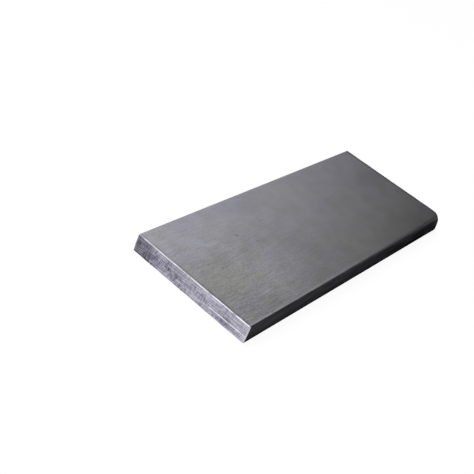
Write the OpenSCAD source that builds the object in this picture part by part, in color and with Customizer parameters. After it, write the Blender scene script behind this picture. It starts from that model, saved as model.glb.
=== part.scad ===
// Steel plate sawn from rolled flat bar, in millimetres.
// +X runs along the length, away from the end that has the saw lip, +Y runs
// across the width and +Z is up. The origin is the middle of the underside.

/* [Plate] */
// Overall length, measured over the saw lip
plate_length = 300; // [150:1:600]
// Width across the rolled edges
plate_width = 120; // [90:1:250]
// Thickness of the bar
plate_thick = 16; // [10:0.5:40]
// Radius of the rolled arrises that run along the length
rolled_radius = 0.9; // [0.3:0.1:3]

/* [Sawn ends] */
// Chamfer filed round both sawn ends
deburr = 0.6; // [0.2:0.1:1.2]
// How far the saw lip reaches along the end, from the filed corner
lip_length = 39; // [15:1:75]
// Height of the saw lip's ledge above the underside
lip_height = 6.5; // [4:0.1:8]
// How far the saw lip stands out of the underside's end at the front corner
lip_proud = 0.6; // [0.2:0.1:1.2]
// How far the saw cut leans out from its top arris to the underside
cut_lean = 1.1; // [0:0.1:2]

/* [Eased front edge] */
// Radius of the front edge's top arris at the saw cut
eased_near = 0.4; // [0.3:0.1:2]
// Radius of the front edge's top arris at the square end
eased_far = 4; // [2.5:0.1:8]
// Radius of the front edge's lower arris at the saw cut
lower_near = 0.4; // [0.3:0.1:1]
// Radius of the front edge's lower arris at the square end
lower_far = 2.6; // [1.5:0.1:5]

/* [Blunted corner] */
// How far the blunting runs back along both edges of the top face
blunt_setback = 8.5; // [6:0.5:10]
// How far it runs back along both edges of the underside
blunt_low = 3; // [1:0.5:5]

/* [Hidden] */
$fn = 96;
// How far a cut runs past the face that it leaves, and the lip into its seat
over = 1;
// Where the leaning saw cut meets the underside and the top face, and plane of
// the square end
cut_under_x = -plate_length / 2 + lip_proud;
cut_x = cut_under_x + cut_lean;
square_x = plate_length / 2;
// Plane of the front edge
front_y = -plate_width / 2;
// How far above the filed arris the saw lip starts, and least height of its crest
lip_foot = 0.2;
// The radius of an eased arris' cone as a share of its depth, over 1 so that the
// cone cuts both faces
eased_swell_share = 1.03;
// A dome centred on the underside's level, which meets the edges of the top face
// and of the underside at their setbacks: how far its centre lies in from both
// faces, and its radius
blunt_rise_share = pow(plate_thick, 2) / (blunt_setback - blunt_low);
blunt_inset = (blunt_rise_share + blunt_setback + blunt_low) / 2;
blunt_radius = norm([blunt_inset, blunt_inset - blunt_low]);

// Section of the rolled bar: a rectangle on the X axis with its back corners
// rounded; the front ones are for the eased arrises to take off
module rolled_section() {
    for (inset = [[rolled_radius, 0], [0, rolled_radius]])
        translate([front_y, inset.y])
            square([plate_width - inset.x, plate_thick - 2 * inset.y]);
    for (z = [rolled_radius, plate_thick - rolled_radius])
        translate([plate_width / 2 - rolled_radius, z])
            circle(rolled_radius);
}

// Bar of that section between two planes across the length
module rolled_bar(from_x, to_x) {
    translate([from_x, 0, 0])
        rotate([90, 0, 90])
            linear_extrude(to_x - from_x)
                rolled_section();
}

// Prism across the width, from an outline of X and Z
module across_width() {
    rotate([90, 0, 0])
        linear_extrude(plate_width + 2 * over, center = true)
            children();
}

// Place along X of the leaning saw cut at a height
function cut_at(z) = cut_under_x + cut_lean * z / plate_thick;

// Bar from the leaning saw cut to the square end, with both ends' top and bottom
// arrises filed
module cut_bar() {
    intersection() {
        rolled_bar(cut_under_x - over, square_x + over);
        across_width()
            polygon([
                [cut_under_x + deburr, 0],
                [square_x - deburr, 0],
                [square_x, deburr],
                [square_x, plate_thick - deburr],
                [square_x - deburr, plate_thick],
                [cut_x + deburr, plate_thick],
                [cut_at(plate_thick - deburr), plate_thick - deburr],
                [cut_at(deburr), deburr]
            ]);
    }
}

// Two blocks whose inner faces file the upright arrises of the end that meets the
// underside at under_x and the top face at top_x; inward is 1 where the plate
// lies on the +X side of the end, and -1 where it lies on the -X side
module upright_files(under_x, top_x, inward) {
    block = 4 * over;
    for (hand = [-1, 1])
        translate([(under_x + top_x) / 2, hand * plate_width / 2, plate_thick / 2])
            rotate([0, atan((top_x - under_x) / plate_thick), 0])
                rotate([0, 0, atan2(-hand, inward)])
                    translate([deburr / sqrt(2) - block / 2, 0, 0])
                        cube([block, block, plate_thick + block], center = true);
}

// What an eased arris takes off the front top arris: what lies between it and the
// axis of a cone, outside the cone, with a radius of near at the saw cut and of
// far at the square end
module eased_cut(near, far) {
    // How fast the radius grows along the length, how much longer the cone's axis
    // is than its run along X, and where its tip lies
    grade = (far - near) / (square_x - cut_x);
    slant = sqrt(1 + 2 * pow(grade, 2));
    tip_x = cut_x - near / grade;
    from_x = -plate_length / 2 - over;
    to_x = square_x + over;
    from_radius = (from_x - tip_x) * grade;
    to_radius = (to_x - tip_x) * grade;
    reach = (to_x - tip_x) * slant + over;
    half_angle = asin(grade / slant);
    difference() {
        intersection() {
            linear_extrude(plate_thick + over)
                polygon([
                    [from_x, front_y - over],
                    [to_x, front_y - over],
                    [to_x, front_y + to_radius],
                    [from_x, front_y + from_radius]
                ]);
            across_width()
                polygon([
                    [from_x, plate_thick + over],
                    [to_x, plate_thick + over],
                    [to_x, plate_thick - to_radius],
                    [from_x, plate_thick - from_radius]
                ]);
        }
        translate([tip_x, front_y, plate_thick])
            rotate([0, acos(-grade / slant), atan(grade)])
                cylinder(h = reach, r1 = 0, r2 = reach * tan(half_angle) * eased_swell_share);
    }
}

// What lies outside the dome at the corner of the square end and the front edge
module blunt_cut() {
    reach = blunt_setback + 2 * over;
    difference() {
        translate([square_x - blunt_setback - over, front_y - over, -over])
            cube([reach, reach, plate_thick + 2 * over]);
        translate([square_x - blunt_inset, front_y + blunt_inset, 0])
            sphere(blunt_radius);
    }
}

// Lip where the saw broke through: a ridge low on the cut face, proudest at the
// front corner, which runs out to nothing along the end
module saw_lip() {
    crest_x = cut_under_x - lip_proud;
    seat_x = cut_x + over;
    foot_z = deburr + lip_foot;
    crest_low_z = foot_z + cut_at(foot_z) - crest_x;
    crest_high_z = max(crest_low_z + lip_foot, lip_height - cut_at(lip_height) + crest_x);
    lip_front_y = front_y + deburr;
    intersection() {
        rolled_bar(crest_x - over, seat_x + over);
        linear_extrude(plate_thick)
            polygon([
                [seat_x, lip_front_y],
                [crest_x, lip_front_y],
                [cut_at(lip_height), lip_front_y + lip_length],
                [seat_x, lip_front_y + lip_length]
            ]);
        across_width()
            polygon([
                [seat_x, foot_z],
                [cut_at(foot_z), foot_z],
                [crest_x, crest_low_z],
                [crest_x, crest_high_z],
                [cut_at(lip_height), lip_height],
                [seat_x, lip_height]
            ]);
    }
}

module plate() {
    color([0.50, 0.50, 0.52]) {
        difference() {
            cut_bar();
            upright_files(cut_under_x, cut_x, 1);
            upright_files(square_x, square_x, -1);
            eased_cut(eased_near, eased_far);
            translate([0, 0, plate_thick])
                mirror([0, 0, 1])
                    eased_cut(lower_near, lower_far);
            blunt_cut();
        }
        saw_lip();
    }
}

plate();
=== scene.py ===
import bpy
import numpy as np
from mathutils import Matrix, Vector


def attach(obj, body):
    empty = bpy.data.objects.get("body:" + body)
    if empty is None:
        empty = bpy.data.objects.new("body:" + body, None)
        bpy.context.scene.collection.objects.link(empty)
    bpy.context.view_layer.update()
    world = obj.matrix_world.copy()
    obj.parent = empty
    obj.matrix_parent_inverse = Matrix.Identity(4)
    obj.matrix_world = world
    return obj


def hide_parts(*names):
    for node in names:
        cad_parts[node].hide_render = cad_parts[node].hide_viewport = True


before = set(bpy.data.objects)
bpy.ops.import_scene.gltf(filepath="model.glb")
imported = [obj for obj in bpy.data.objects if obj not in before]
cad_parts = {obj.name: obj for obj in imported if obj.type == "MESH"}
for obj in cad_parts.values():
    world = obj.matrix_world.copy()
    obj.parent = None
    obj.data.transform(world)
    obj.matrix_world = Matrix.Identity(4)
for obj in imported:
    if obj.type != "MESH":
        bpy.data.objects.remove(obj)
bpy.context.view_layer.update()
mm = 0.001
tiny = 1e-9   # keeps a division off zero

scene = bpy.context.scene
scene.view_settings.view_transform = "Standard"


# sRGB hex to linear: below 0.04045 a straight line, above it a power of 2.4
def linearOf(hexColour):
    parts = np.array([int(hexColour[i:i + 2], 16) for i in (1, 3, 5)]) / 255
    curve = ((parts + 0.055) / 1.055) ** 2.4
    return (*np.where(parts <= 0.04045, parts / 12.92, curve), 1.0)


# adds a node, sets its settings, and links or fills its inputs
def addNode(tree, kind, inputs=None, **settings):
    node = tree.nodes.new("ShaderNode" + kind)
    for name, value in settings.items():
        setattr(node, name, value)
    for name, value in (inputs or {}).items():
        if isinstance(value, bpy.types.NodeSocket):
            tree.links.new(value, node.inputs[name])
        else:
            node.inputs[name].default_value = value
    return node


# an empty node tree for a world or a material
def emptyTree(owner):
    owner.use_nodes = True
    owner.node_tree.nodes.clear()
    return owner.node_tree


# camera, at the photograph's place seen from the plate
cameraSettings = {
    "place": (-0.61856, -0.28425, 0.44150),
    "forward": (0.72168, 0.40134, -0.56401),
    "up": (0.28613, 0.56896, 0.77098),
    "lens": 70.0,
    "sensor": 36.0,
    "clip": (0.01, 50.0),
}


def makeCamera(s):
    data = bpy.data.cameras.new("camera")
    data.lens = s["lens"]
    data.sensor_width = s["sensor"]
    data.sensor_fit = "HORIZONTAL"
    data.clip_start, data.clip_end = s["clip"]
    camera = bpy.data.objects.new("camera", data)
    scene.collection.objects.link(camera)
    forward = Vector(s["forward"]).normalized()
    right = forward.cross(Vector(s["up"])).normalized()
    turn = Matrix((right, right.cross(forward), -forward)).transposed()
    camera.matrix_world = Matrix.Translation(s["place"]) @ turn.to_4x4()
    scene.camera = camera
    print("camera in place")


makeCamera(cameraSettings)


# lamps: soft boxes given by compass angle from +X, height angle and distance from the plate
lampSettings = {
    "topSoftbox": {"around": 200, "above": 68, "away": 1.8, "size": (2.2, 2.2), "power": 20},
    "endSoftbox": {"around": 150, "above": 46, "away": 1.5, "size": (0.5, 0.5), "power": 0.6},
    "frontSoftbox": {"around": -110, "above": 20, "away": 2.4, "size": (3.6, 1.4), "power": 8},
}
# a pale wall behind and to the left, dim to the right, a softer wall in front: brightness goes
# by the sideways part of a direction, square to this compass angle, and grows with its height
roomSettings = {
    "around": 10, "from": 0.105, "to": 0.37,
    "dim": 0.05, "bright": 1.12,
    "frontFrom": -0.30, "frontTo": -0.75, "front": 0.45,
    "low": 0.38, "high": 0.60, "lowShare": 0.46,
}


def makeLights(lamps, room):
    for name, s in lamps.items():
        around, above = np.radians([s["around"], s["above"]])
        out = Vector((np.cos(around) * np.cos(above), np.sin(around) * np.cos(above), np.sin(above)))
        data = bpy.data.lights.new(name, "AREA")
        data.shape = "RECTANGLE"
        data.size, data.size_y = s["size"]
        data.energy = s["power"]
        lamp = bpy.data.objects.new(name, data)
        scene.collection.objects.link(lamp)
        turn = out.to_track_quat("Z", "Y").to_matrix().to_4x4()
        lamp.matrix_world = Matrix.Translation(out * s["away"]) @ turn
    scene.world = bpy.data.worlds.new("paleRoom")
    tree = emptyTree(scene.world)
    direction = addNode(tree, "TexCoord").outputs["Generated"]
    around = np.radians(room["around"])
    sideways = (-np.sin(around), np.cos(around), 0.0)
    facing = addNode(tree, "VectorMath", {
        0: direction, 1: sideways}, operation="DOT_PRODUCT").outputs["Value"]
    wall = addNode(tree, "MapRange", {
        "Value": facing, "From Min": room["from"], "From Max": room["to"],
        "To Min": room["dim"], "To Max": room["bright"]}).outputs[0]
    height = addNode(tree, "SeparateXYZ", {"Vector": direction}).outputs["Z"]
    climb = addNode(tree, "MapRange", {
        "Value": height, "From Min": room["low"], "From Max": room["high"],
        "To Min": room["lowShare"]}).outputs[0]
    wall = addNode(tree, "Math", {0: wall, 1: climb}, operation="MULTIPLY").outputs[0]
    front = addNode(tree, "MapRange", {
        "Value": facing, "From Min": room["frontFrom"], "From Max": room["frontTo"],
        "To Max": room["front"]}, interpolation_type="SMOOTHSTEP").outputs[0]
    level = addNode(tree, "Math", {0: wall, 1: front}, operation="ADD").outputs[0]
    back = addNode(tree, "Background", {"Color": (1, 1, 1, 1), "Strength": level})
    addNode(tree, "OutputWorld", {"Surface": back.outputs[0]})
    print("lights:", len(lamps), "soft boxes and a pale room")


makeLights(lampSettings, roomSettings)


# floor, a wide disc that sweeps up at its rim, in metres: rings of points by radius and angle,
# with a fan in the middle and quads between rings; past the flat part its height grows as the
# distance squared
floorSettings = {
    "inner": 0.2, "flat": 5.0, "radius": 9.0, "rise": 0.7,
    "rings": 30,
    "spokes": 96,
    "drop": 0.00005,    # a hair below the plate, so that the two faces don't fight
    "paint": "#e6e6e6",
    "shadowShare": 0.14,    # how much of what falls on it, shadow included, the camera sees
    "glow": 0.89,           # and how white it is by itself
}


def makeFloor(s):
    radius = np.geomspace(s["inner"], s["radius"], s["rings"])
    angle = np.arange(s["spokes"]) * 2 * np.pi / s["spokes"]
    ring, spoke = np.meshgrid(radius, angle, indexing="ij")
    past = np.maximum(ring - s["flat"], 0) / (s["radius"] - s["flat"])
    height = s["rise"] * past ** 2 - s["drop"]
    points = np.stack([ring * np.cos(spoke), ring * np.sin(spoke), height], axis=-1).reshape(-1, 3)
    points = np.vstack([[[0.0, 0.0, -s["drop"]]], points])
    number = np.arange(1, len(points)).reshape(ring.shape)
    after = np.roll(number, -1, axis=1)
    fan = np.stack([np.zeros_like(number[0]), number[0], after[0]], axis=-1)
    rest = np.stack([number[:-1], number[1:], after[1:], after[:-1]], axis=-1).reshape(-1, 4)
    mesh = bpy.data.meshes.new("floor")
    mesh.from_pydata(points.tolist(), [], fan.tolist() + rest.tolist())
    floor = bpy.data.objects.new("floor", mesh)
    scene.collection.objects.link(floor)

    # matt white board: to the camera and the metal it is white by itself, less the shadow on it
    board = bpy.data.materials.new("mattWhiteBoard")
    tree = emptyTree(board)
    path = addNode(tree, "LightPath").outputs
    seen = addNode(tree, "Math", {
        0: path["Is Camera Ray"], 1: path["Is Glossy Ray"]}, operation="MAXIMUM").outputs[0]
    seen = addNode(tree, "Math", {
        0: seen, 1: path["Is Transmission Ray"]}, operation="MAXIMUM").outputs[0]
    paint = addNode(tree, "BsdfDiffuse", {"Color": linearOf(s["paint"])})
    shaded = addNode(tree, "BsdfDiffuse", {"Color": (s["shadowShare"],) * 3 + (1.0,)})
    glow = addNode(tree, "Emission", {"Color": (1, 1, 1, 1), "Strength": s["glow"]})
    white = addNode(tree, "AddShader", {0: shaded.outputs[0], 1: glow.outputs[0]})
    mix = addNode(tree, "MixShader", {0: seen, 1: paint.outputs[0], 2: white.outputs[0]})
    addNode(tree, "OutputMaterial", {"Surface": mix.outputs[0]})
    mesh.materials.append(board)
    print("floor laid")


makeFloor(floorSettings)


# the plate, in millimetres until the mesh is filled
plateSettings = {
    "length": 300.0, "width": 120.0, "thick": 16.0,
    "rolledRadius": 0.9,            # back edge's arrises
    "easedNear": 0.6, "easedFar": 4.0,   # front edge's top arris, at the saw cut and at the far end
    "easedPower": 1.7,              # how late along the length it grows
    "easedWaver": (0.08, 26.0, 5),  # how unevenly: share, length and seed
    "lowerNear": 0.4, "lowerFar": 2.6,   # front edge's lower arris
    "rollWave": 0.02,               # waviness of the rolled edges
    "rollWaves": ((38.0, 2.2, 1.0, 3), (11.0, 1.1, 0.6, 4)),   # its waves: length, height, share and seed
    "filed": 0.5,                   # chamfer filed round the ends
    "filedWaver": 0.14,             # how unevenly the file went
    "filedAlong": (4.5, 7, 6),      # along an end: length, row of the random field and seed
    "filedUp": (3.0, 5, 7),         # and up its corners
    "filedFront": 0.35, "filedFrontEnds": (-5.0, 35.0),   # more off the cut's top arris, to the front
    "filedGaps": ((-18.9, 1.2), (-43.8, 1.0), (56.0, 2.6)),   # where it missed: place and half length
    "gapDepth": 0.8,                # how much of the chamfer is missing there
    "bluntSetback": 8.5, "bluntLow": 3.0,   # blunted corner, along the top's edges and the underside's
    "bluntSoft": 0.7,               # how softly the blunting runs into the faces
    "sawRidge": 0.035,              # depth of the saw's marks on the ends
    "sawMargin": (0.5, 1.2),        # they fade out towards the arrises
    "sawSteps": (30.0, 0.9, 0.012),   # long steps along the cut: length, height and lean
    "sawChatter": (2.3, 7.0, 0.6),  # fine chatter across them: width, height and share
    "sawLevel": 1.3,                # level that the marks swing about
    "sawSeeds": (11, 21),           # at the near end and at the far one
    "cutLean": 1.1,                 # how far the saw cut leans out from its top arris to the underside
    "leanFade": 60.0,               # over this length the lattice follows the lean
    "lipProud": 0.6, "lipLength": 39.0,
    "lipStart": 0.55,               # share of that height at the lip's inner end
    "lipEnds": ((0.0, 2.5), (-0.3, 0.4)),   # over what length it rises at the inner end and at the corner
    "lipSlopes": (0.9, 2.4),        # how steep it is below and above
    "ledgeInner": 6.2, "ledgeFront": 6.9,   # height of the lip's ledge at its two ends
    "ledgeWaver": (0.12, 5.0, 31),  # how unevenly: height, length and seed
    # fine lines beside each edge, as distances from it, and how many even lines between
    "nearLines": (0, .12, .25, .4, .6, .8, 1.1, 1.6, 2.4, 3.6, 5, 7),
    "farLines": (0, .12, .25, .4, .6, .8, 1.1, 1.6, 2.3, 3.1, 4, 5, 6, 7, 8.2, 9.6, 11.5, 14),
    "frontLines": (0, .12, .25, .4, .55, .7, .9, 1.2, 1.6, 2.1, 2.7, 3.4, 4.2, 5.2, 6.4, 7.8),
    "backLines": (0, .12, .25, .4, .6, .8, .95, 1.3, 1.9, 2.8, 4),
    "underLines": (0, .12, .25, .4, .6, .8, .95, 1.3, 1.8, 2.5, 3.3, 4.1, 4.8, 5.2, 5.4, 5.6,
                   5.8, 6.0, 6.2, 6.4, 6.6, 6.8, 7.1, 7.6),
    "topLines": (0, .12, .25, .4, .55, .7, .95, 1.3, 1.7, 2.2, 2.8, 3.4, 4.1, 4.9, 5.7, 6.5),
    "alongCount": 150, "acrossCount": 96, "throughCount": 3,
}


# fine lines in from both ends of a side, even steps between
def gradedLines(low, high, fromLow, fromHigh, count):
    fromLow = low + np.array(fromLow)
    fromHigh = (high - np.array(fromHigh))[::-1]
    return np.concatenate([fromLow, np.linspace(fromLow[-1], fromHigh[0], count + 2)[1:-1], fromHigh])


# skin of a box of lines: each lattice point on the six sides once, so the sides share their
# edge points and the skin is closed; sides are numbered 2 * axis, plus 1 for the high one
def boxSkin(xLines, yLines, zLines):
    grid = np.stack(np.meshgrid(xLines, yLines, zLines, indexing="ij"), axis=-1)
    onSkin = np.zeros(grid.shape[:3], bool)
    onSkin[[0, -1]] = True
    onSkin[:, [0, -1]] = True
    onSkin[:, :, [0, -1]] = True
    number = np.full(grid.shape[:3], -1)
    number[onSkin] = np.arange(onSkin.sum())
    quads, sides = [], []
    for axis in range(3):
        for end in (0, 1):
            sheet = np.take(number, -end, axis=axis)
            corners = [sheet[:-1, :-1], sheet[1:, :-1], sheet[1:, 1:], sheet[:-1, 1:]]
            corners = np.stack(corners, axis=-1).reshape(-1, 4)
            outward = (end == 1) != (axis == 1)
            quads.append(corners if outward else corners[:, ::-1])
            sides.append(np.full(len(corners), 2 * axis + end))
    return grid[onSkin], np.concatenate(quads), np.concatenate(sides)


# smooth random field between -1 and 1: seeded heights on a grid, eased into each other by cosines
def wavering(s, t, sizeS, sizeT, seed):
    count, shift = 257, 1000   # the grid's side, and how far the field is moved to stay above zero
    heights = np.random.default_rng(seed).uniform(-1, 1, (count, count))
    s, t = s / sizeS + shift, t / sizeT + shift
    i, j = np.floor(s).astype(int), np.floor(t).astype(int)
    u, v = (1 - np.cos(np.pi * (s - i))) / 2, (1 - np.cos(np.pi * (t - j))) / 2
    i, j, i2, j2 = i % count, j % count, (i + 1) % count, (j + 1) % count
    low = heights[i, j] * (1 - u) + heights[i2, j] * u
    high = heights[i, j2] * (1 - u) + heights[i2, j2] * u
    return low * (1 - v) + high * v


# 0 below low, 1 above high, and between them an S curve, 3 t squared less 2 t cubed
def eased(value, low, high):
    t = np.clip((value - low) / (high - low), 0, 1)
    return t * t * (3 - 2 * t)


# bell curve of a distance: e to the power of minus its square, counted in widths
def bell(distance, width):
    return np.exp(-(distance / width) ** 2)


# depths a and b below two faces that meet square: a point outside the circle that touches
# both faces moves towards that circle's centre, onto it
def roundOff(a, b, radius):
    da, db = radius - a, radius - b
    reach = np.hypot(da, db)
    outside = (da > 0) & (db > 0) & (reach > radius)
    pull = np.where(outside, radius / np.maximum(reach, tiny), 1)
    return np.where(outside, radius - da * pull, a), np.where(outside, radius - db * pull, b)


# depths a and b below two faces: a point outside the 45 degree plane that leaves each face
# at width moves square onto that plane
def fileOff(a, b, width):
    push = np.maximum(width - a - b, 0) / 2
    return a + push, b + push


# a sphere centred on the underside's level that meets the top's and the underside's edges at
# their setbacks: points outside it move in along its radius, softly where it runs into the faces
def bluntCorner(points, s):
    high, low = s["bluntSetback"], s["bluntLow"]
    inset = (s["thick"] ** 2 / (high - low) + high + low) / 2
    centre = np.array([s["length"] / 2 - inset, -s["width"] / 2 + inset, 0])
    radius = np.hypot(inset, inset - low)
    offset = points - centre
    reach = np.linalg.norm(offset, axis=1)
    soft = s["bluntSoft"]
    over = np.logaddexp(0, (reach - radius) / soft) * soft
    over = np.where((offset[:, 0] > 0) & (offset[:, 1] < 0), over, 0)
    return points - offset / np.maximum(reach, tiny)[:, None] * over[:, None], over


# places along the length of the saw cut's top arris and of the far end
def endPlaces(s):
    return -s["length"] / 2 + s["lipProud"] + s["cutLean"], s["length"] / 2


# the whole plate: long arrises rounded, ends filed, then the saw's lip, marks and lean, and the
# corner blunted
def shapePlate(base, s):
    halfWidth, thick = s["width"] / 2, s["thick"]
    cutX, farX = endPlaces(s)
    x, y, z = base.T.copy()
    onNear, onFar = base[:, 0] == base[:, 0].min(), base[:, 0] == base[:, 0].max()
    onLong = np.abs(base[:, 1]) == halfWidth

    # rolled edges aren't quite flat: they wave inwards from the bar's width
    deepest = s["rollWave"] * sum(share for _, _, share, _ in s["rollWaves"])
    wave = s["rollWave"] * sum(
        share * wavering(x, z, length, height, seed) for length, height, share, seed in s["rollWaves"])
    y = np.where(onLong, y - np.sign(y) * (deepest + wave), y)

    run = (x - cutX) / (farX - cutX)
    easedTop = s["easedNear"] + (s["easedFar"] - s["easedNear"]) * np.maximum(run, 0) ** s["easedPower"]
    waver, length, seed = s["easedWaver"]
    easedTop = easedTop * (1 + waver * wavering(x, 0, length, 1, seed))
    easedLow = s["lowerNear"] + (s["lowerFar"] - s["lowerNear"]) * run
    for hand, top, radius in ((-1, 1, easedTop), (1, 1, s["rolledRadius"]),
                              (-1, 0, easedLow), (1, 0, s["rolledRadius"])):
        depth, below = roundOff(halfWidth - hand * y, (thick - z) if top else z, radius)
        y, z = hand * (halfWidth - depth), (thick - below) if top else below

    # files cut the ends' four arrises, a little unevenly
    for end, endX in ((1, cutX), (-1, farX)):
        length, row, seed = s["filedAlong"]
        along = s["filed"] + s["filedWaver"] * wavering(y, end * row, length, 1, seed)
        length, row, seed = s["filedUp"]
        up = s["filed"] + s["filedWaver"] * wavering(z, end * row, length, 1, seed)
        above = along
        if end == 1:
            above = along + s["filedFront"] * eased(-y, *s["filedFrontEnds"])
            for place, half in s["filedGaps"]:
                above = above * (1 - s["gapDepth"] * bell(y - place, half))
        depth, below = fileOff(end * (x - endX), thick - z, above)
        x, z = endX + end * depth, thick - below
        depth, below = fileOff(end * (x - endX), z, along)
        x, z = endX + end * depth, below
        for hand in (-1, 1):
            depth, aside = fileOff(end * (x - endX), halfWidth - hand * y, up)
            x, y = endX + end * depth, hand * (halfWidth - aside)

    # saw marks: long shallow steps along the cut, with a fine chatter across them
    stepLong, stepHigh, stepLean = s["sawSteps"]
    chatterWide, chatterHigh, chatterShare = s["sawChatter"]
    for on, end, seed in ((onNear, 1, s["sawSeeds"][0]), (onFar, -1, s["sawSeeds"][1])):
        inside = eased(np.minimum(z, thick - z), *s["sawMargin"])
        inside = inside * eased(halfWidth - np.abs(y), *s["sawMargin"])
        marks = wavering(y, z + stepLean * y, stepLong, stepHigh, seed)
        marks = marks + chatterShare * wavering(y, z, chatterWide, chatterHigh, seed + 1)
        x = np.where(on, x + end * s["sawRidge"] * np.maximum(s["sawLevel"] + marks, 0) * inside, x)

    # saw lip: a ridge low on the cut, proudest at the front, with a ledge on top
    fromFront = y + halfWidth - s["filed"]
    share = np.clip(1 - fromFront / s["lipLength"], 0, 1)
    innerEnd, frontEnd = s["lipEnds"]
    proud = (s["lipStart"] + (1 - s["lipStart"]) * share) * eased(s["lipLength"] - fromFront, *innerEnd)
    proud = (s["lipProud"] + s["cutLean"] * z / thick) * proud * eased(fromFront, *frontEnd)
    waver, length, seed = s["ledgeWaver"]
    ledge = s["ledgeInner"] + (s["ledgeFront"] - s["ledgeInner"]) * share
    ledge = ledge + waver * wavering(y, 0, length, 1, seed)
    slopeBelow, slopeAbove = s["lipSlopes"]
    ridge = np.clip(np.minimum((z - s["filed"]) * slopeBelow, (ledge - z) * slopeAbove), 0, proud)
    x = np.where(onNear, x - ridge, x)

    # the cut leans: points near it slide along the length, most at the underside
    lean = s["cutLean"] * (1 - z / thick) * np.clip(1 - (x - cutX) / s["leanFade"], 0, 1)
    x = x - lean

    points, blunted = bluntCorner(np.stack([x, y, z], axis=1), s)
    return points, blunted, ledge, ridge, lean


# bare bright steel where files and handling have been, and as painted highlights beside the
# front arris and on the lip's ledge; dark mill scale where the rolls left it;
# widths and places are in mm, places along the length or across the width from the middle, and
# what changes to the front does so between two distances in front of the middle
wearSettings = {
    "endArris": 0.68,       # half width of the bright line round the ends
    "line": (0.69, 0.26, 3.2, 41),  # its strength on the cut's top arris: level, waver, length and seed
    "lineFront": 0.25, "lineFrontEnds": (-25, 10),   # how much weaker it gets to the front
    "gapLoss": 0.9,                 # how much of it is lost where the file missed
    "brightSpot": (36.0, 2.5, 0.3),   # a bright spot on it: place, half length and strength
    "topShift": (0.15, 0.4), "topShiftEnds": (0, 40),   # how far in it lies, and how much more to the front
    "topMargin": (0.5, 0.9),        # it keeps this near to the arris
    "underShare": 0.55, "underEnds": (-20, 50),   # line on the cut's lower arris, towards the front
    "uprightArris": 0.9, "uprightBackShare": 0.35,   # lines up the cut's corners, weaker at the back
    "farShare": 0.3, "farArris": 0.4,   # line round the far end
    "wrapMiddle": (0.98, 3.5),      # where the front edge's scale, partly painted shade of the rounded arris, ends on the top face, near and far
    "wrapWidth": (0.3, 4.6),        # over what width it fades there
    "wrapPower": 1.6,               # how late along the length both grow
    "frontLine": 0.95,              # half width of the painted highlight beside that scale, a line of bare steel
    "frontLineShift": (1.35, 0.5),  # how far in it lies, in the scale's middles and widths
    "frontLineEnds": (-70, 70),     # where it fades along the length
    "frontLineFlat": (0.85, 0.97),  # it keeps to where the face is this level
    "frontLineLevel": 0.88,         # its strength
    "frontLineWaver": ((0.2, 9.0, 42), (0.35, 3.7, 44)),   # and how that wavers: share, length and seed
    "ledgeLine": 0.32, "ledgeDrop": 0.25,   # bare line along the lip's ledge, partly painted highlight, and how far below it
    "ledgeRidge": (0.0, 0.12), "ledgeLeast": 0.2,   # it needs a ridge this proud, and weakens to the front
    "scaleTilt": (0.10, 0.65),      # scale where a face turns this far to the front or back
    "cornerCut": (0.05, 0.5), "cornerTilt": (0.03, 0.35),   # and on the blunted corner, partly painted shade
    "uprightClear": 1.2,            # how strongly the lines up the cut's corners clear it
    "nearDark": (0.26, 0.34, 0.12),   # dark line inside the cut's arris: level, more in front, waver
    "nearDarkEnds": (-25, 15),
    "nearDarkWaver": (6, 43),       # the waver's length and seed
    "nearDarkLine": (1.9, 0.55),    # and the line's place and half width
    "farDark": 0.85, "farDarkLine": (1.9, 1.3),   # dark line inside the far arris: place and half width
    "darkFlat": (0.8, 0.95),        # both keep to where the face is this level
}


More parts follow.
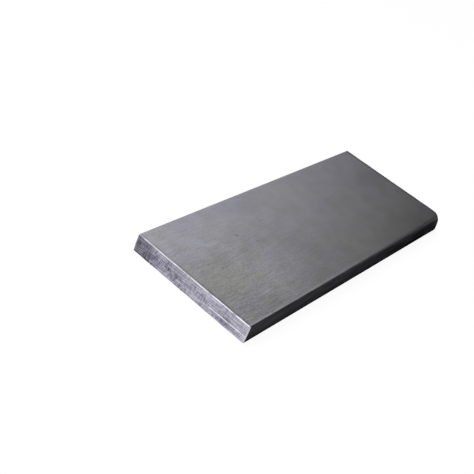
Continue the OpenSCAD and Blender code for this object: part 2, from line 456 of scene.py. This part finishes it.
def paintMasks(base, points, normals, blunted, ledge, ridge, lean, s, w):
    halfWidth, thick = s["width"] / 2, s["thick"]
    cutX, farX = endPlaces(s)
    x, y, z = points.T
    nx, ny, nz = np.abs(normals.T)
    near, far = np.maximum(x + lean - cutX, 0), farX - x
    front, back = y + halfWidth, halfWidth - y
    top, under = thick - z, z
    onNear = base[:, 0] == base[:, 0].min()
    upper = z > thick / 2

    level, waver, length, seed = w["line"]
    line = level + waver * wavering(y, 0, length, 1, seed)
    line = line * (1 - w["lineFront"] * eased(-y, *w["lineFrontEnds"]))
    for place, half in s["filedGaps"]:
        line = line * (1 - w["gapLoss"] * bell(y - place, half))
    place, half, strength = w["brightSpot"]
    line = line + strength * bell(y - place, half)
    shift = w["topShift"][0] + w["topShift"][1] * eased(-y, *w["topShiftEnds"])
    topEnd = bell(top - near + shift, w["endArris"]) * line
    topEnd = topEnd * (1 - eased(np.minimum(near, top), *w["topMargin"]))
    underEnd = w["underShare"] * bell(near + under, w["endArris"]) * eased(-y, *w["underEnds"])
    upright = bell(near + front, w["uprightArris"])
    uprightBack = w["uprightBackShare"] * bell(near + back, w["uprightArris"])
    farEnd = w["farShare"] * bell(far + np.minimum(top, under), w["farArris"])

    run = np.clip((x - cutX) / (farX - cutX), 0, 1) ** w["wrapPower"]
    middle = w["wrapMiddle"][0] + (w["wrapMiddle"][1] - w["wrapMiddle"][0]) * run
    width = w["wrapWidth"][0] + (w["wrapWidth"][1] - w["wrapWidth"][0]) * run
    # scale wrapping onto the top face: mill scale, and partly painted shade where it fades over the rounded
    # arris
    wrap = eased((middle - front) / width, -0.5, 0.5) * upper
    inMiddles, inWidths = w["frontLineShift"]
    # painted highlight: a line of bare steel on the top face beside the front arris
    frontTop = bell(front - inMiddles * middle - inWidths * width, w["frontLine"])
    frontTop = frontTop * (1 - eased(x, *w["frontLineEnds"])) * eased(nz * upper, *w["frontLineFlat"])
    strength = w["frontLineLevel"] + sum(
        share * wavering(x, 0, length, 1, seed) for share, length, seed in w["frontLineWaver"])
    frontTop = frontTop * strength * (1 - wrap)

    share = np.clip(1 - (front - s["filed"]) / s["lipLength"], 0, 1)
    # bare line on the lip's ledge, partly painted highlight
    ledgeLine = bell(z - ledge + w["ledgeDrop"], w["ledgeLine"]) * eased(ridge, *w["ledgeRidge"]) * onNear
    ledgeLine = ledgeLine * (w["ledgeLeast"] + (1 - w["ledgeLeast"]) * (1 - share) ** 2)
    wearAndHighlight = np.max([topEnd, underEnd, upright, uprightBack, farEnd, frontTop, ledgeLine], axis=0)

    scale = np.maximum(eased(ny, *w["scaleTilt"]), wrap)
    # scale on the blunted corner, partly painted shade
    corner = eased(blunted, *w["cornerCut"])
    scale = np.maximum(scale, corner * eased(np.hypot(nx, ny), *w["cornerTilt"]))
    scale = scale * (1 - np.clip(w["uprightClear"] * np.maximum(upright, uprightBack), 0, 1))

    # a thin dark line inside the end arrises, laid as scale
    level, more, waver = w["nearDark"]
    length, seed = w["nearDarkWaver"]
    nearDark = level + more * eased(-y, *w["nearDarkEnds"]) + waver * wavering(y, 0, length, 1, seed)
    place, half = w["nearDarkLine"]
    nearDark = nearDark * bell(near - place, half)
    place, half = w["farDarkLine"]
    inside = np.maximum(nearDark, w["farDark"] * bell(far - place, half)) * eased(nz, *w["darkFlat"])
    scale = np.maximum(scale, inside)
    return np.clip(wearAndHighlight, 0, 1), np.clip(scale, 0, 1)


# the range in which most of a noise texture's values lie
noiseSpan = {"From Min": 0.3, "From Max": 0.7}

# one Principled surface for a steel finish, with mill scale and bare bright steel laid over it;
# places are in mm from the part's origin
coverSettings = {
    "scaleDark": "#0b0b0c", "scalePale": "#464649",
    "bare": "#cfced6",
    "scaleRough": 0.70, "bareRough": 0.34,
    "streak": (22.0, 0.7), "streakLift": 0.3,   # mill scale's streaks: length, width and strength
    "thinScale": (-140.0, 110.0), "thinShare": (0.68, 0.17),   # thinner, so paler, towards the saw cut
    "lowScale": (1.0, 9.0), "lowShare": 0.45,   # darker low on the edge
    "highScale": (12.5, 18.0),      # paler still on the rounded top arris, partly rubbed, partly painted light where it faces up
    "highEnds": (-100.0, 80.0), "highShare": (-0.2, 0.32),   # more so towards the far end
    "cornerEnds": (128.0, 142.0), "cornerRise": (6.0, 14.0),   # and paler on the blunted corner
    "cornerShare": 0.3,
    "lowStrip": (0.6, 3.2), "cutStrip": (-148.2, -145.4), "stripShare": 0.1,   # nearly black along these: low on the edge as painted shade, and beside the saw cut
    "mattFrom": 0.5,                # thin scale darkens the steel before it turns it matt
    "shine": 0.0,                   # mill scale is matt
}


def coverFinish(tree, place, colour, rough, height, depth, c):
    # bare steel from files and handling, and painted highlights
    wearAndHighlight = addNode(tree, "Attribute", attribute_name="wearAndHighlight").outputs["Fac"]
    scale = addNode(tree, "Attribute", attribute_name="scale").outputs["Fac"]
    length, width = c["streak"]
    stretch = addNode(tree, "Mapping", {
        "Vector": place, "Scale": (1 / (length * mm), 1 / (length * mm), 1 / (width * mm))}).outputs[0]
    streaks = addNode(tree, "TexNoise", {"Vector": stretch, "Scale": 1.0, "Detail": 3.0}).outputs[0]
    parts = addNode(tree, "SeparateXYZ", {"Vector": place}).outputs

    # how pale the scale is: thinner towards the saw cut, darker low on the edge, paler up the rounded arris
    # with painted light, and paler on the blunted corner
    scaleLightness = addNode(tree, "MapRange", {
        "Value": parts["X"], "From Min": c["thinScale"][0] * mm, "From Max": c["thinScale"][1] * mm,
        "To Min": c["thinShare"][0], "To Max": c["thinShare"][1]}).outputs[0]
    low = addNode(tree, "MapRange", {
        "Value": parts["Z"], "From Min": c["lowScale"][0] * mm, "From Max": c["lowScale"][1] * mm,
        "To Min": c["lowShare"]}).outputs[0]
    scaleLightness = addNode(tree, "Math", {0: scaleLightness, 1: low}, operation="MULTIPLY").outputs[0]
    share = addNode(tree, "MapRange", {
        "Value": parts["X"], "From Min": c["highEnds"][0] * mm, "From Max": c["highEnds"][1] * mm,
        "To Min": c["highShare"][0], "To Max": c["highShare"][1]}).outputs[0]
    high = addNode(tree, "MapRange", {
        "Value": parts["Z"], "From Min": c["highScale"][0] * mm, "From Max": c["highScale"][1] * mm,
        "To Max": share}, interpolation_type="SMOOTHSTEP").outputs[0]
    scaleLightness = addNode(tree, "Math", {0: scaleLightness, 1: high}, operation="ADD").outputs[0]
    climb = addNode(tree, "MapRange", {
        "Value": parts["Z"], "From Min": c["cornerRise"][0] * mm, "From Max": c["cornerRise"][1] * mm,
        "To Max": c["cornerShare"]}).outputs[0]
    cornerPaler = addNode(tree, "MapRange", {
        "Value": parts["X"], "From Min": c["cornerEnds"][0] * mm, "From Max": c["cornerEnds"][1] * mm,
        "To Max": climb}, interpolation_type="SMOOTHSTEP").outputs[0]
    scaleLightness = addNode(tree, "Math", {0: scaleLightness, 1: cornerPaler}, operation="ADD").outputs[0]
    lift = addNode(tree, "MapRange", {
        "Value": streaks, **noiseSpan, "To Min": -c["streakLift"], "To Max": c["streakLift"]}).outputs[0]
    lift = addNode(tree, "Math", {0: scaleLightness, 1: lift}, operation="ADD", use_clamp=True).outputs[0]
    # nearly black low on the edge, as painted shade, and beside the saw cut
    for axis, (start, end) in (("Z", c["lowStrip"]), ("X", c["cutStrip"])):
        strip = addNode(tree, "MapRange", {
            "Value": parts[axis], "From Min": start * mm, "From Max": end * mm,
            "To Min": c["stripShare"]}, interpolation_type="SMOOTHSTEP").outputs[0]
        lift = addNode(tree, "Math", {0: lift, 1: strip}, operation="MULTIPLY").outputs[0]

    scaleColour = addNode(tree, "Mix", {
        0: lift, 6: linearOf(c["scaleDark"]), 7: linearOf(c["scalePale"])}, data_type="RGBA").outputs[2]
    scaled = addNode(tree, "Mix", {0: scale, 6: colour, 7: scaleColour}, data_type="RGBA").outputs[2]
    worn = addNode(tree, "Mix", {0: wearAndHighlight, 6: scaled, 7: linearOf(c["bare"])}, data_type="RGBA").outputs[2]
    matt = addNode(tree, "MapRange", {"Value": scale, "From Min": c["mattFrom"]}).outputs[0]
    rough = addNode(tree, "Mix", {0: matt, 2: rough, 3: c["scaleRough"]}).outputs[0]
    rough = addNode(tree, "Mix", {0: wearAndHighlight, 2: rough, 3: c["bareRough"]}).outputs[0]
    metal = addNode(tree, "Math", {0: 1.0, 1: matt}, operation="SUBTRACT").outputs[0]
    metal = addNode(tree, "Math", {0: metal, 1: wearAndHighlight}, operation="MAXIMUM").outputs[0]
    relief = addNode(tree, "Mix", {0: scale, 2: height, 3: streaks}).outputs[0]
    bump = addNode(tree, "Bump", {"Height": relief, "Distance": depth * mm, "Strength": 1.0})
    shader = addNode(tree, "BsdfPrincipled", {
        "Base Color": worn, "Roughness": rough, "Metallic": metal, "Normal": bump.outputs[0],
        "Specular IOR Level": c["shine"]})
    addNode(tree, "OutputMaterial", {"Surface": shader.outputs[0]})


# soft spots on a finish: 0 outside a spot's half sizes, its strength inside, an S curve over its
# edge, and the strongest where spots meet
def spotMask(tree, place, spots):
    mask = None
    for centre, half, edge, strength in spots:
        offset = addNode(tree, "VectorMath", {
            0: place, 1: tuple(c * mm for c in centre)}, operation="SUBTRACT").outputs[0]
        offset = addNode(tree, "VectorMath", {
            0: offset, 1: tuple(1 / (h * mm) for h in half)}, operation="MULTIPLY").outputs[0]
        reach = addNode(tree, "VectorMath", {0: offset}, operation="LENGTH").outputs["Value"]
        spot = addNode(tree, "MapRange", {
            "Value": reach, "From Min": 1.0, "From Max": 1.0 - edge, "To Max": strength},
            interpolation_type="SMOOTHSTEP").outputs[0]
        mask = addNode(tree, "Math", {0: mask or 0.0, 1: spot}, operation="MAXIMUM").outputs[0]
    return mask


# cold-rolled mild steel, oiled: satin grey, with a fine short grain along the rolling direction,
# faint cool and warm clouds, painted shade towards the far end and painted light and shade in
# soft spots; sizes and places are in mm, and each spot has its middle, half sizes, soft edge
# and strength
rolledSettings = {
    "cool": "#bab9c5", "warm": "#bbbbbd", "oiled": "#b8b9af", "grainDark": "#7f7d84",
    "drift": (70.0, -70.0),     # the cool tone lies towards the back edge
    "cloud": 42.0, "cloudShift": 0.4,   # clouds across, and how far they shift that
    "patch": 15.0,              # oily patches across
    "patchTone": (1.05, 0.95),  # brightness between them and in them
    "patchSpan": (0.5, 0.68), "patchMost": 0.8,   # how far they spread, and how strong they get
    "patchEnds": (-60.0, 40.0), "patchShare": 0.25,   # fewer towards the far end
    "rough": 0.35, "roughSpread": 0.05,
    "grain": (2.5, 0.8),        # grain's length and width, about three times coarser than real, to show
    "drag": (12.0, 1.7), "dragShare": 0.38,   # broader drag marks of the rolls, and their part of the grain
    "grainSpan": (0.42, 0.66),  # how dense the grain is
    "grainEnds": (-105.0, 20.0), "grainShare": (0.76, 0.12),   # weaker towards the far end
    "grainSides": (-50.0, 50.0), "grainSideShare": (1.28, 0.5),   # and towards the back
    "grainDepth": 0.02,
    "shadeEnds": (-20.0, 150.0), "shadeShare": 0.85,   # painted shade: darker towards the far end
    "oil": (((-128.0, -14.0, 16.0), (46.0, 34.0, 9.0), 0.9, 0.65),),   # an oily film
    # painted light, where the top face is made paler, and painted shade, where it is made darker
    "litSpots": (
        ((-88.0, -34.0, 16.0), (66.0, 52.0, 30.0), 0.95, 0.24),
        ((-100.0, 28.0, 16.0), (45.0, 28.0, 30.0), 0.95, 0.08),
        ((-144.0, -52.0, 16.0), (30.0, 22.0, 30.0), 0.95, 0.18),
    ),
    "shadedSpots": (
        ((140.0, -66.0, 16.0), (120.0, 48.0, 30.0), 0.95, 0.22),
        ((142.0, 18.0, 16.0), (50.0, 26.0, 30.0), 0.95, 0.13),
        ((-28.0, 50.0, 16.0), (42.0, 24.0, 30.0), 0.95, 0.1),
    ),
    # knocks and specks
    "knocks": (
        ((-72.3, 20.2, 16.0), (2.2, 1.7, 2.0), 0.8, 0.6),
        ((-61.0, 6.0, 16.0), (2.0, 1.2, 2.0), 0.9, 0.35),
        ((-115.0, 24.0, 16.0), (5.0, 0.9, 2.0), 0.9, 0.4),
        ((-36.0, 24.0, 16.0), (4.0, 1.5, 2.0), 0.9, 0.3),
        ((-28.0, -8.0, 16.0), (3.0, 1.2, 2.0), 0.9, 0.3),
        ((-116.0, -3.0, 16.0), (3.5, 1.0, 2.0), 0.9, 0.4),
        ((-133.5, 3.5, 16.0), (3.0, 1.0, 2.0), 0.9, 0.4),
    ),
}


def rolledSteel(s, c):
    material = bpy.data.materials.new("coldRolledSteel")
    tree = emptyTree(material)
    place = addNode(tree, "TexCoord").outputs["Object"]
    parts = addNode(tree, "SeparateXYZ", {"Vector": place}).outputs

    # clouds and oily patches
    clouds = addNode(tree, "TexNoise", {
        "Vector": place, "Scale": 1 / (s["cloud"] * mm), "Detail": 2.0}).outputs[0]
    clouds = addNode(tree, "MapRange", {
        "Value": clouds, **noiseSpan, "To Min": -s["cloudShift"], "To Max": s["cloudShift"]}).outputs[0]
    drift = addNode(tree, "MapRange", {
        "Value": parts["Y"], "From Min": s["drift"][0] * mm, "From Max": s["drift"][1] * mm}).outputs[0]
    clouds = addNode(tree, "Math", {0: clouds, 1: drift}, operation="ADD", use_clamp=True).outputs[0]
    base = addNode(tree, "Mix", {
        0: clouds, 6: linearOf(s["cool"]), 7: linearOf(s["warm"])}, data_type="RGBA").outputs[2]
    patch = addNode(tree, "TexNoise", {
        "Vector": place, "Scale": 1 / (s["patch"] * mm), "Detail": 1.0}).outputs[0]
    tone = addNode(tree, "MapRange", {
        "Value": patch, **noiseSpan, "To Min": s["patchTone"][0], "To Max": s["patchTone"][1]}).outputs[0]
    patch = addNode(tree, "MapRange", {
        "Value": patch, "From Min": s["patchSpan"][0], "From Max": s["patchSpan"][1],
        "To Max": s["patchMost"]}).outputs[0]
    patch = addNode(tree, "Math", {0: patch, 1: drift}, operation="MULTIPLY").outputs[0]
    fewer = addNode(tree, "MapRange", {
        "Value": parts["X"], "From Min": s["patchEnds"][0] * mm, "From Max": s["patchEnds"][1] * mm,
        "To Min": 1.0, "To Max": s["patchShare"]}).outputs[0]
    patch = addNode(tree, "Math", {0: patch, 1: fewer}, operation="MULTIPLY").outputs[0]
    patch = addNode(tree, "Math", {
        0: patch, 1: spotMask(tree, place, s["oil"])}, operation="MAXIMUM").outputs[0]
    base = addNode(tree, "Mix", {0: patch, 6: base, 7: linearOf(s["oiled"])}, data_type="RGBA").outputs[2]

    # grain, drag marks and knocks
    streaks = []
    for length, width in (s["grain"], s["drag"]):
        stretch = addNode(tree, "Mapping", {
            "Vector": place, "Scale": (1 / (length * mm), 1 / (width * mm), 1 / (width * mm))}).outputs[0]
        streaks.append(addNode(tree, "TexNoise", {
            "Vector": stretch, "Scale": 1.0, "Detail": 4.0, "Roughness": 0.6}).outputs[0])
    grain = addNode(tree, "Mix", {0: s["dragShare"], 2: streaks[0], 3: streaks[1]}).outputs[0]
    share = addNode(tree, "MapRange", {
        "Value": parts["X"], "From Min": s["grainEnds"][0] * mm, "From Max": s["grainEnds"][1] * mm,
        "To Min": s["grainShare"][0], "To Max": s["grainShare"][1]}).outputs[0]
    side = addNode(tree, "MapRange", {
        "Value": parts["Y"], "From Min": s["grainSides"][0] * mm, "From Max": s["grainSides"][1] * mm,
        "To Min": s["grainSideShare"][0], "To Max": s["grainSideShare"][1]}).outputs[0]
    share = addNode(tree, "Math", {0: share, 1: side}, operation="MULTIPLY").outputs[0]
    dark = addNode(tree, "MapRange", {
        "Value": grain, "From Min": s["grainSpan"][0], "From Max": s["grainSpan"][1],
        "To Max": share}).outputs[0]
    knocks = spotMask(tree, place, s["knocks"])
    dark = addNode(tree, "Math", {0: dark, 1: knocks}, operation="ADD", use_clamp=True).outputs[0]
    colour = addNode(tree, "Mix", {
        0: dark, 6: base, 7: linearOf(s["grainDark"])}, data_type="RGBA").outputs[2]

    # brightness: painted shade by place, tone by patch, and painted light and shade in spots
    shadeTone = addNode(tree, "MapRange", {
        "Value": parts["X"], "From Min": s["shadeEnds"][0] * mm, "From Max": s["shadeEnds"][1] * mm,
        "To Min": 1.0, "To Max": s["shadeShare"]}).outputs[0]
    # painted light and painted shade in soft spots on the top face
    spotLightAndShade = addNode(tree, "Math", {
        0: spotMask(tree, place, s["litSpots"]), 1: spotMask(tree, place, s["shadedSpots"])},
        operation="SUBTRACT").outputs[0]
    tone = addNode(tree, "Math", {0: tone, 1: spotLightAndShade, 2: tone}, operation="MULTIPLY_ADD").outputs[0]
    # painted shade towards the far end, times the patch tone and the painted spots
    shadeTone = addNode(tree, "Math", {0: shadeTone, 1: tone}, operation="MULTIPLY").outputs[0]
    colour = addNode(tree, "Mix", {
        0: 1.0, 6: colour, 7: shadeTone}, data_type="RGBA", blend_type="MULTIPLY").outputs[2]
    rough = addNode(tree, "MapRange", {
        "Value": grain, **noiseSpan,
        "To Min": s["rough"] - s["roughSpread"], "To Max": s["rough"] + s["roughSpread"]}).outputs[0]
    coverFinish(tree, place, colour, rough, grain, s["grainDepth"], c)
    return material


# bandsawn mild steel: bright lavender grey, with lines along the cut, a fine upright hatch,
# darker blotches where the blade ran hot, and painted shade towards the back edge and its corner;
# sizes, places and spots as for the rolled steel
sawnSettings = {
    "bright": "#b4b2c0", "tint": "#77748c", "shadeTone": "#8e8c99", "darkSpotGrey": "#5e5b72", "backShadowGrey": "#626168",
    "rough": 0.42, "roughSpread": 0.08,
    # the cut's patterns: size along and up, and how far they lean, degrees
    "lines": (18.0, 0.7, -2.0),     # lines along the cut
    "hatch": (1.1, 5.0, 13.0),      # upright hatch, coarser than the teeth's to show
    "blotch": (11.0, 5.0, 0.0),     # blotches
    "hatchSpan": (0.35, 0.65), "hatchShare": (0.15, 0.75),   # hatch and lines take turns, by blotch
    "blotchSpan": (0.48, 0.68), "blotchShare": 0.55,   # how far the blotches spread, and their strength
    "backShade": (-35.0, 66.0),      # painted shade: the cut darkens towards the back edge
    "marksSpan": (0.38, 0.62),
    "deepest": (0.55, 0.28), "highest": (1.37, 1.75),   # how dark and bright the marks are, front and back
    "marksDepth": 0.05,
    # darker spots, where the blade dwelt or burned, and a darker strip under the lip's ledge
    "darkSpots": (
        ((-149.0, 44.0, 7.4), (4.0, 11.5, 4.6), 0.6, 0.65),
        ((-149.0, 22.0, 8.4), (4.0, 4.5, 2.4), 0.8, 0.5),
        ((-149.0, 11.5, 8.0), (4.0, 7.0, 2.6), 0.7, 0.5),
        ((-149.0, 1.0, 8.2), (4.0, 7.0, 2.4), 0.9, 0.3),
        ((-149.0, -13.7, 7.0), (4.0, 0.9, 7.5), 0.8, 0.25),
        # this one and the next: a darker strip under the lip's ledge and a darker band just above it
        ((-149.5, -40.0, 4.3), (4.0, 20.0, 2.6), 0.9, 0.55),
        ((-149.0, -40.0, 7.4), (4.0, 6.0, 1.1), 0.8, 0.8),
        ((-149.0, -14.0, 2.4), (4.0, 3.5, 2.4), 0.8, 0.3),
        ((-149.0, -36.0, 9.0), (4.0, 11.0, 16.0), 0.7, 0.12),
        ((-149.0, -29.0, 6.0), (4.0, 5.0, 1.7), 0.9, 0.4),
        ((-149.0, 19.0, 12.6), (4.0, 5.0, 1.7), 0.9, 0.2),
    ),
    # painted shade along the back edge, darker still at its corner
    "backShadows": (
        ((-149.0, 66.0, 8.0), (4.0, 25.0, 60.0), 0.1, 0.55),
        ((-149.0, 58.0, 8.0), (4.0, 8.0, 9.0), 0.7, 0.9),
    ),
    # bright scratches
    "scratches": (
        ((-149.0, -7.0, 5.3), (4.0, 3.6, 0.45), 0.7, 0.7),
        ((-149.0, 31.0, 4.5), (4.0, 2.2, 0.6), 0.8, 0.6),
        ((-149.0, 6.6, 7.0), (4.0, 0.6, 5.0), 0.8, 0.5),
        ((-149.0, -22.2, 5.4), (4.0, 2.4, 0.8), 0.7, 1.0),
        ((-149.0, -48.0, 9.6), (4.0, 6.0, 1.5), 0.9, 0.4),
        ((-149.0, -22.0, 8.2), (4.0, 3.0, 1.8), 0.9, 0.4),
        ((-149.0, -15.5, 10.2), (4.0, 4.5, 1.8), 0.9, 0.35),
        ((-149.0, 35.0, 13.6), (4.0, 6.0, 1.6), 0.9, 0.3),
        ((-149.0, -37.0, 13.4), (4.0, 6.0, 1.8), 0.9, 0.5),
    ),
}


def sawnSteel(s, c):
    material = bpy.data.materials.new("bandsawnSteel")
    tree = emptyTree(material)
    place = addNode(tree, "TexCoord").outputs["Object"]
    pattern = {}
    for name in ("lines", "hatch", "blotch"):
        along, up, lean = s[name]
        stretch = addNode(tree, "Mapping", {
            "Vector": place, "Rotation": (np.radians(lean), 0.0, 0.0), "Scale": (1.0, along * mm, up * mm)},
            vector_type="TEXTURE").outputs[0]
        pattern[name] = addNode(tree, "TexNoise", {
            "Vector": stretch, "Scale": 1.0, "Detail": 3.0, "Distortion": 0.25}).outputs[0]
    turns = addNode(tree, "MapRange", {
        "Value": pattern["blotch"], "From Min": s["hatchSpan"][0], "From Max": s["hatchSpan"][1],
        "To Min": s["hatchShare"][0], "To Max": s["hatchShare"][1]}).outputs[0]
    marks = addNode(tree, "Mix", {0: turns, 2: pattern["lines"], 3: pattern["hatch"]}).outputs[0]
    across = addNode(tree, "SeparateXYZ", {"Vector": place}).outputs["Y"]
    # painted shade, growing towards the back edge
    backShade = addNode(tree, "MapRange", {
        "Value": across, "From Min": s["backShade"][0] * mm, "From Max": s["backShade"][1] * mm},
        interpolation_type="SMOOTHSTEP").outputs[0]
    blotches = addNode(tree, "MapRange", {
        "Value": pattern["blotch"], "From Min": s["blotchSpan"][0], "From Max": s["blotchSpan"][1],
        "To Max": s["blotchShare"]}).outputs[0]

    # colours laid over each other
    tinted = linearOf(s["bright"])
    # over the bright steel: painted shade to the back, blotches, dark spots, painted shade at the back
    # corner, bright scratches
    for mask, over in ((backShade, s["shadeTone"]), (blotches, s["tint"]),
                       (spotMask(tree, place, s["darkSpots"]), s["darkSpotGrey"]),
                       (spotMask(tree, place, s["backShadows"]), s["backShadowGrey"]),
                       (spotMask(tree, place, s["scratches"]), c["bare"])):
        tinted = addNode(tree, "Mix", {0: mask, 6: tinted, 7: linearOf(over)}, data_type="RGBA").outputs[2]
    deepest, highest = (addNode(tree, "MapRange", {
        "Value": backShade, "To Min": s[name][0], "To Max": s[name][1]}).outputs[0]
        for name in ("deepest", "highest"))
    shade = addNode(tree, "MapRange", {
        "Value": marks, "From Min": s["marksSpan"][0], "From Max": s["marksSpan"][1],
        "To Min": deepest, "To Max": highest}).outputs[0]
    colour = addNode(tree, "Mix", {
        0: 1.0, 6: tinted, 7: shade}, data_type="RGBA", blend_type="MULTIPLY").outputs[2]
    rough = addNode(tree, "MapRange", {
        "Value": marks, **noiseSpan,
        "To Min": s["rough"] - s["roughSpread"], "To Max": s["rough"] + s["roughSpread"]}).outputs[0]
    coverFinish(tree, place, colour, rough, marks, s["marksDepth"], c)
    return material


# flat pattern of the six sides on one square sheet, in mm: which two axes lie flat, and where
sheetSettings = {
    "side": 312.0,
    "flat": {0: (1, 2), 1: (1, 2), 2: (0, 2), 3: (0, 2), 4: (0, 1), 5: (0, 1)},
    "corner": {5: (4, 4), 4: (4, 128), 2: (4, 252), 3: (4, 272), 0: (4, 292), 1: (128, 292)},
}


def makePlate(s):
    cutX, farX = endPlaces(s)
    halfWidth = s["width"] / 2
    xLines = gradedLines(cutX, farX, s["nearLines"], s["farLines"], s["alongCount"])
    yLines = gradedLines(-halfWidth, halfWidth, s["frontLines"], s["backLines"], s["acrossCount"])
    zLines = gradedLines(0, s["thick"], s["underLines"], s["topLines"], s["throughCount"])
    base, quads, sides = boxSkin(xLines, yLines, zLines)
    points, blunted, ledge, ridge, lean = shapePlate(base, s)

    mesh = bpy.data.meshes.new("plate_skin")
    mesh.from_pydata((points * mm).tolist(), [], quads.tolist())
    mesh.polygons.foreach_set("use_smooth", np.ones(len(quads), bool))
    mesh.polygons.foreach_set("material_index", (sides < 2).astype(np.int32))   # the ends are sawn
    mesh.update()
    normals = np.zeros(len(points) * 3, np.float32)
    mesh.vertex_normals.foreach_get("vector", normals)
    masks = paintMasks(base, points, normals.reshape(-1, 3), blunted, ledge, ridge, lean, s, wearSettings)
    for name, mask in zip(("wearAndHighlight", "scale"), masks):
        mesh.attributes.new(name, "FLOAT", "POINT").data.foreach_set("value", mask.astype(np.float32))

    flat = np.zeros((len(quads), 4, 2))
    for side, axes in sheetSettings["flat"].items():
        here = sides == side
        corner = base.min(axis=0)[list(axes)]
        flat[here] = base[quads[here]][:, :, list(axes)] - corner + sheetSettings["corner"][side]
    layer = mesh.uv_layers.new(name="OFBake")
    layer.data.foreach_set("uv", (flat / sheetSettings["side"]).astype(np.float32).ravel())

    mesh.materials.append(rolledSteel(rolledSettings, coverSettings))
    mesh.materials.append(sawnSteel(sawnSettings, coverSettings))
    plate = bpy.data.objects.new("sawn_plate", mesh)
    scene.collection.objects.link(plate)
    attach(plate, "root")
    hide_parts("plate")
    print("plate made,", 2 * len(quads), "triangles")


makePlate(plateSettings)
